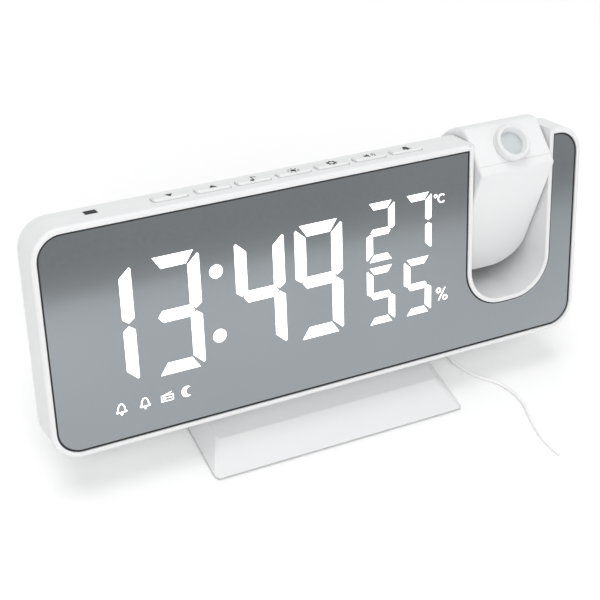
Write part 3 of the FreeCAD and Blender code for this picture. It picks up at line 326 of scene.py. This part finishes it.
def circle(x, z, radius, steps=24):
    points = []
    for step in range(steps):
        angle = 2 * math.pi * step / steps
        points.append((x + radius * math.cos(angle), z + radius * math.sin(angle)))
    return points


# Closed outline of a line of even width along an open path
def strip(path, width):
    left = []
    right = []
    for index, (x, z) in enumerate(path):
        before = path[max(index - 1, 0)]
        after = path[min(index + 1, len(path) - 1)]
        along = Vector((after[0] - before[0], after[1] - before[1])).normalized()
        left.append((x - along.y * width / 2, z + along.x * width / 2))
        right.append((x + along.y * width / 2, z - along.x * width / 2))
    return left + right[::-1]


# Lit figures: bars with mitred ends, placed from the panel's top left corner
figures = {
    "bigDigits": (("1", 10.3), ("3", 31.6), ("4", 59.3), ("9", 79.3)), "bigTop": 12.8,
    "bigHeight": 38.0, "bigWidth": 16.4, "bigBar": 3.8, "bigCorner": 1.3, "bigGap": 0.45,
    "smallRows": (("27", 10.6), ("55", 32.2)), "smallLefts": (104.3, 117.9),
    "smallHeight": 19.6, "smallWidth": 10.2, "smallBar": 2.3, "smallCorner": 0.7, "smallGap": 0.4,
    "colonLeft": 53.1, "colonTops": (21.3, 42.3), "colonRadius": 2.2, "front": -0.06, "back": -0.01,
}
segmentsOfDigit = {
    "1": "bc", "2": "abged", "3": "abgcd", "4": "fgbc", "5": "afgcd", "7": "abc", "9": "abcdfg",
}


def fromPanelCorner(left, top):
    return left - panel["halfWidth"], panel["halfHeight"] - top


# One bar, its corner cut off in two steps
def segmentOutline(letter, width, height, bar, corner, gap):
    middle = height / 2
    half = bar / 2
    cutIn = corner * 0.4
    cutDown = corner * 0.6 + gap
    shapes = {
        "a": [(corner + gap, 0), (width - corner - gap, 0), (width - bar - gap, bar), (bar + gap, bar)],
        "b": [(width, corner + gap), (width, middle - half), (width - half, middle - gap),
              (width - bar, middle - half), (width - bar, bar + gap), (width - cutIn, cutDown)],
        "f": [(0, corner + gap), (cutIn, cutDown), (bar, bar + gap), (bar, middle - half),
              (half, middle - gap), (0, middle - half)],
        "g": [(half + gap, middle), (bar, middle - half), (width - bar, middle - half),
              (width - half - gap, middle), (width - bar, middle + half), (bar, middle + half)],
    }
    flipped = {"d": "a", "c": "b", "e": "f"}
    if letter in flipped:
        return [(x, height - z) for x, z in shapes[flipped[letter]]]
    return shapes[letter]


def digitOutlines(digit, left, top, size):
    outlines = []
    for letter in segmentsOfDigit[digit]:
        points = segmentOutline(letter, figures[size + "Width"], figures[size + "Height"],
                                figures[size + "Bar"], figures[size + "Corner"], figures[size + "Gap"])
        outlines.append([fromPanelCorner(left + x, top + z) for x, z in points])
    return outlines


def litFigures():
    outlines = []
    for digit, left in figures["bigDigits"]:
        outlines += digitOutlines(digit, left, figures["bigTop"], "big")
    for text, top in figures["smallRows"]:
        for digit, left in zip(text, figures["smallLefts"]):
            outlines += digitOutlines(digit, left, top, "small")
    for top in figures["colonTops"]:
        outlines.append(circle(*fromPanelCorner(figures["colonLeft"], top), figures["colonRadius"]))
    meshPiece("lit_figures", outlines, figures["front"], figures["back"], glowWhite, "clock")


litFigures()
print("figures lit")


# Symbols, drawn round (0, 0) in mm: each function gives the outlines of one of them
def ring(radius, width, start=0, end=360, steps=24):
    path = []
    for step in range(steps + 1):
        angle = math.radians(start + (end - start) * step / steps)
        path.append((radius * math.cos(angle), radius * math.sin(angle)))
    return strip(path, width)


# Lines of even width that run outwards all round
def rays(count, inner, outer, width):
    outlines = []
    for index in range(count):
        angle = 2 * math.pi * index / count
        path = [(radius * math.cos(angle), radius * math.sin(angle)) for radius in (inner, outer)]
        outlines.append(strip(path, width))
    return outlines


def triangleSymbol(direction):
    return [[(-0.85, -0.6 * direction), (0.85, -0.6 * direction), (0, 0.8 * direction)]]


def noteSymbol():
    return [circle(-0.55, -0.9, 0.45), [(-0.2, -0.9), (0.0, -0.9), (0.0, 1.2), (-0.2, 1.2)],
            [(0.0, 1.2), (0.9, 0.7), (0.9, 0.35), (0.0, 0.85)]]


def sunSymbol():
    return [circle(0, 0, 0.62)] + rays(8, 0.9, 1.35, 0.24)


def cogSymbol():
    return [ring(0.72, 0.4)] + rays(8, 0.9, 1.25, 0.34)


def soundSymbol():
    return [[(-1.3, -0.4), (-0.7, -0.4), (-0.1, -0.95), (-0.1, 0.95), (-0.7, 0.4), (-1.3, 0.4)],
            ring(0.75, 0.2, -45, 45, 10), ring(1.25, 0.2, -45, 45, 12)]


bell = {
    "profile": ((-1.0, -0.75), (-0.72, -0.35), (-0.62, 0.35), (-0.32, 0.85), (0, 1.0), (0.32, 0.85),
                (0.62, 0.35), (0.72, -0.35), (1.0, -0.75)),
    "clapperSteps": 12, "openScale": 1.6, "openLine": 0.38,
}


def bellSymbol():
    return [list(bell["profile"]), circle(0, -1.02, 0.24, bell["clapperSteps"])]


# The lit bell is drawn in line, larger than the printed one
def openBellSymbol():
    scale = bell["openScale"]
    profile = [(x * scale, z * scale) for x, z in bell["profile"]]
    rim = [profile[0], profile[-1]]
    return [strip(profile, bell["openLine"]), strip(rim, bell["openLine"]),
            circle(0, -1.1 * scale, 0.26 * scale, bell["clapperSteps"])]


def radioSymbol():
    left, right, low, high = (-1.9, 1.9, -1.2, 0.7)
    sides = (
        [(left, low), (right, low)], [(left, high), (right, high)],
        [(left, low), (left, high)], [(right, low), (right, high)],
    )
    return [strip(side, 0.28) for side in sides] + [
        circle(-0.9, -0.25, 0.5, 16), strip([(0.1, -0.25), (1.4, -0.25)], 0.3),
        strip([(-1.2, 0.8), (1.5, 1.6)], 0.22),
    ]


# Crescent between two arcs that meet at its tips: tip and step are in degrees
moon = {"radius": 1.8, "tip": 48, "step": 12, "innerCentre": 1.1, "innerSteps": 16}


def moonSymbol():
    outer = []
    for degrees in range(moon["tip"], 361 - moon["tip"], moon["step"]):
        angle = math.radians(degrees)
        outer.append((moon["radius"] * math.cos(angle), moon["radius"] * math.sin(angle)))
    tipX, tipZ = outer[0]
    centre = moon["innerCentre"]
    reach = math.hypot(tipX - centre, tipZ)
    spread = math.degrees(math.atan2(tipZ, tipX - centre))
    inner = []
    for step in range(1, moon["innerSteps"]):
        angle = math.radians(360 - spread - (360 - 2 * spread) * step / moon["innerSteps"])
        inner.append((centre + reach * math.cos(angle), reach * math.sin(angle)))
    return [outer + inner]


def placedOn(outlines, x, z):
    return [[(px + x, pz + z) for px, pz in outline] for outline in outlines]


def percentSymbol():
    loop = ring(0.75, 0.42)
    return [loop, strip([(0.0, -3.6), (2.5, 0.7)], 0.4)] + placedOn([loop], 2.5, -2.9)


def celsiusSymbol():
    return [ring(0.5, 0.3)] + placedOn([ring(1.3, 0.45, 45, 315)], 2.3, -1.1)


# The signs beside the small figures, then the row of symbols under the big ones
signs = (
    (celsiusSymbol(), 129.6, 12.6), (percentSymbol(), 131.0, 45.4), (openBellSymbol(), 20.1, 58.1),
    (openBellSymbol(), 27.6, 58.1), (radioSymbol(), 34.8, 58.2), (moonSymbol(), 41.2, 58.0),
)


def litSigns():
    outlines = []
    for symbol, left, top in signs:
        outlines += placedOn(symbol, *fromPanelCorner(left, top))
    meshPiece("lit_signs", outlines, figures["front"], figures["back"], glowWhite, "clock")


litSigns()

# Symbols printed on the buttons: the outline's second number runs back over the top
topPrint = {"depth": 6.2, "height": 37.05, "thickness": 0.03, "scale": 1.45}
printsOfButton = {
    "down": (-49.4, triangleSymbol(-1)), "up": (-35.8, triangleSymbol(1)), "radio": (-22.6, noteSymbol()),
    "light": (-9.1, sunSymbol()), "set": (4.0, cogSymbol()), "volume": (17.2, soundSymbol()),
    "alarm": (30.3, bellSymbol()),
}


def onTop(x, height, run):
    return onFace(x, topPrint["depth"] + run, height)


def printButtons():
    scale = topPrint["scale"]
    low = topPrint["height"]
    for buttonName, (centre, symbol) in printsOfButton.items():
        grown = [[(x * scale, run * scale) for x, run in outline] for outline in symbol]
        meshPiece("print_" + buttonName, placedOn(grown, centre, 0), low, low + topPrint["thickness"],
                  printBlack, "button_" + buttonName + "_body", onTop)


printButtons()
print("symbols printed")


# Black line drawn along the mirror's edge and round the projector pocket. It runs edgeLap past the
# panel's edge. Its middle is pocketGap outside the pocket's rim, and the line along the top ends topGap
# outside it.
border = {
    "width": 0.55, "front": -0.03, "back": -0.005, "cornerSteps": 14, "edgeLap": 0.15,
    "pocketLeft": 51.6, "pocketRight": 81.1, "pocketBottom": -19.2, "pocketCorner": 12.0,
    "pocketWall": 1.5, "pocketGap": 0.25, "topGap": 0.3,
}


def cornerArc(centreX, centreZ, radius, start, turn):
    steps = border["cornerSteps"]
    points = []
    for step in range(steps + 1):
        angle = math.radians(start + turn * step / steps)
        points.append((centreX + radius * math.cos(angle), centreZ + radius * math.sin(angle)))
    return points


def mirrorBorder():
    inset = border["width"] / 2 - border["edgeLap"]
    halfWidth = panel["halfWidth"] - inset
    halfHeight = panel["halfHeight"] - inset
    radius = panel["corner"] - inset
    reach = border["pocketWall"] + border["topGap"]
    edge = [(border["pocketLeft"] - reach, halfHeight)]
    edge += cornerArc(-halfWidth + radius, halfHeight - radius, radius, 90, 90)
    edge += cornerArc(-halfWidth + radius, -halfHeight + radius, radius, 180, 90)
    edge += cornerArc(halfWidth - radius, -halfHeight + radius, radius, 270, 90)
    edge += cornerArc(halfWidth - radius, halfHeight - radius, radius, 0, 90)
    edge.append((border["pocketRight"] + reach, halfHeight))
    grown = border["pocketWall"] + border["pocketGap"]
    left = border["pocketLeft"] - grown
    right = border["pocketRight"] + grown
    bottom = border["pocketBottom"] - grown
    pocketRadius = border["pocketCorner"] + grown
    pocket = [(left, halfHeight)]
    pocket += cornerArc(left + pocketRadius, bottom + pocketRadius, pocketRadius, 180, 90)
    pocket += cornerArc(right - pocketRadius, bottom + pocketRadius, pocketRadius, 270, 90)
    pocket.append((right, halfHeight))
    outlines = []
    for path in (edge, pocket):
        for first, second in zip(path, path[1:]):
            outlines.append(strip([first, second], border["width"]))
    meshPiece("mirror_border", outlines, border["front"], border["back"], borderBlack, "clock")


mirrorBorder()
print("border printed")

# Wire aerial, in mm: out of its grommet, down to the table and forward along it in a loose curve
aerial = {
    "diameter": 1.2, "length": 73.3, "roundSteps": 5, "curveSteps": 16,
    "route": (
        (53.2, 9.108, 11.694), (53.2, 6.35, 6.1), (53.0, 3.2, 1.3), (53.4, -5.4, 0.65),
        (57.6, -13.8, 0.65), (64.6, -19.4, 0.65), (67.6, -28.6, 0.65), (65.3, -37.6, 0.65),
        (63.9, -46.2, 0.65), (65.9, -53.8, 0.65),
    ),
}


def wireAerial():
    curve = bpy.data.curves.new("wire_aerial_line", "CURVE")
    curve.dimensions = "3D"
    curve.bevel_depth = aerial["diameter"] / 2 * mm
    curve.bevel_resolution = aerial["roundSteps"]
    curve.use_fill_caps = True
    spline = curve.splines.new("NURBS")
    spline.points.add(len(aerial["route"]) - 1)
    for point, place in zip(spline.points, aerial["route"]):
        point.co = (*(Vector(place) * mm), 1.0)
    spline.order_u = 3
    spline.use_endpoint_u = True
    spline.resolution_u = aerial["curveSteps"]
    curve.materials.append(materials["wire_jacket"])
    piece = bpy.data.objects.new("wire_aerial_line", curve)
    bpy.context.scene.collection.objects.link(piece)
    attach(piece, "clock")
    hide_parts("wire_aerial")


wireAerial()
print("wire laid")

# Camera at the photograph's angle, solved from the mirror's corners. Places are in metres, lens in mm.
camera = {
    "place": (-0.1846, -0.2592, 0.3336), "right": (0.8871, -0.4403, 0.1387),
    "down": (-0.2144, -0.6591, -0.7209), "forward": (0.4088, 0.6098, -0.6790),
    "lens": 82.5, "sensor": 36.0, "nearest": 0.01,
}


def addCamera():
    data = bpy.data.cameras.new("camera")
    data.lens = camera["lens"]
    data.sensor_width = camera["sensor"]
    data.clip_start = camera["nearest"]
    view = bpy.data.objects.new("camera", data)
    bpy.context.scene.collection.objects.link(view)
    columns = [Vector(camera["right"]), -Vector(camera["down"]), -Vector(camera["forward"])]
    turn = Matrix(columns).transposed()
    view.matrix_world = Matrix.Translation(camera["place"]) @ turn.to_4x4()
    bpy.context.scene.camera = view


addCamera()

# Plain pale floor, one wide light from above, and two smaller ones from the front for the face and the
# inside of the pocket. Each light is its name, place in metres, width and watts. The surround lights the
# object from leftLevel on the left to rightLevel on the right, and the camera sees it white.
studio = {
    "floorSize": 6.0, "floorColour": "FCFCFC", "floorRoughness": 0.9, "floorGloss": 0.1,
    "lights": (
        ("key", (0.3, -1.15, 0.55), 0.9, 1.8), ("top", (-0.3, 0.8, 2.5), 2.5, 34.0),
        ("fill", (-0.4, -0.7, 0.75), 0.9, 4.2),
    ),
    "aim": (0, 0, 0.04), "leftLevel": 0.3, "rightLevel": 0.68, "seenLevel": 1.0,
}


def addFloor():
    half = studio["floorSize"] / 2
    data = bpy.data.meshes.new("floor")
    corners = [(-half, -half, 0), (half, -half, 0), (half, half, 0), (-half, half, 0)]
    data.from_pydata(corners, [], [(0, 1, 2, 3)])
    material, tree = newMaterial("pale_floor")
    shader = addNode(tree, "ShaderNodeBsdfPrincipled",
                     {"Base Color": linearColour(studio["floorColour"]),
                      "Roughness": studio["floorRoughness"],
                      "Specular IOR Level": studio["floorGloss"]}, {})
    finishMaterial(tree, shader)
    data.materials.append(material)
    floor = bpy.data.objects.new("floor", data)
    bpy.context.scene.collection.objects.link(floor)


def addLights():
    for name, place, size, power in studio["lights"]:
        data = bpy.data.lights.new(name, "AREA")
        data.shape = "DISK"
        data.size = size
        data.energy = power
        light = bpy.data.objects.new(name, data)
        bpy.context.scene.collection.objects.link(light)
        light.location = place
        aim = Vector(studio["aim"]) - Vector(place)
        light.rotation_mode = "QUATERNION"
        light.rotation_quaternion = aim.to_track_quat("-Z", "Y")


def setWorld():
    world = bpy.data.worlds.new("studio")
    world.use_nodes = True
    tree = world.node_tree
    tree.nodes.clear()
    path = addNode(tree, "ShaderNodeLightPath", {}, {})
    sky = addNode(tree, "ShaderNodeTexCoord", {}, {})
    across = addNode(tree, "ShaderNodeSeparateXYZ", {}, {"Vector": (sky, "Generated")})
    side = addNode(tree, "ShaderNodeMapRange",
                   {"From Min": -1.0, "To Min": studio["leftLevel"], "To Max": studio["rightLevel"]},
                   {"Value": (across, "X")})
    level = addNode(tree, "ShaderNodeMapRange", {"To Max": studio["seenLevel"]},
                    {"Value": (path, "Is Camera Ray"), "To Min": (side, 0)})
    light = addNode(tree, "ShaderNodeBackground", {"Color": linearColour("FFFFFF")},
                    {"Strength": (level, 0)})
    addNode(tree, "ShaderNodeOutputWorld", {}, {"Surface": (light, 0)})
    bpy.context.scene.world = world
    bpy.context.scene.view_settings.view_transform = "Standard"


addFloor()
addLights()
setWorld()
print("studio set")
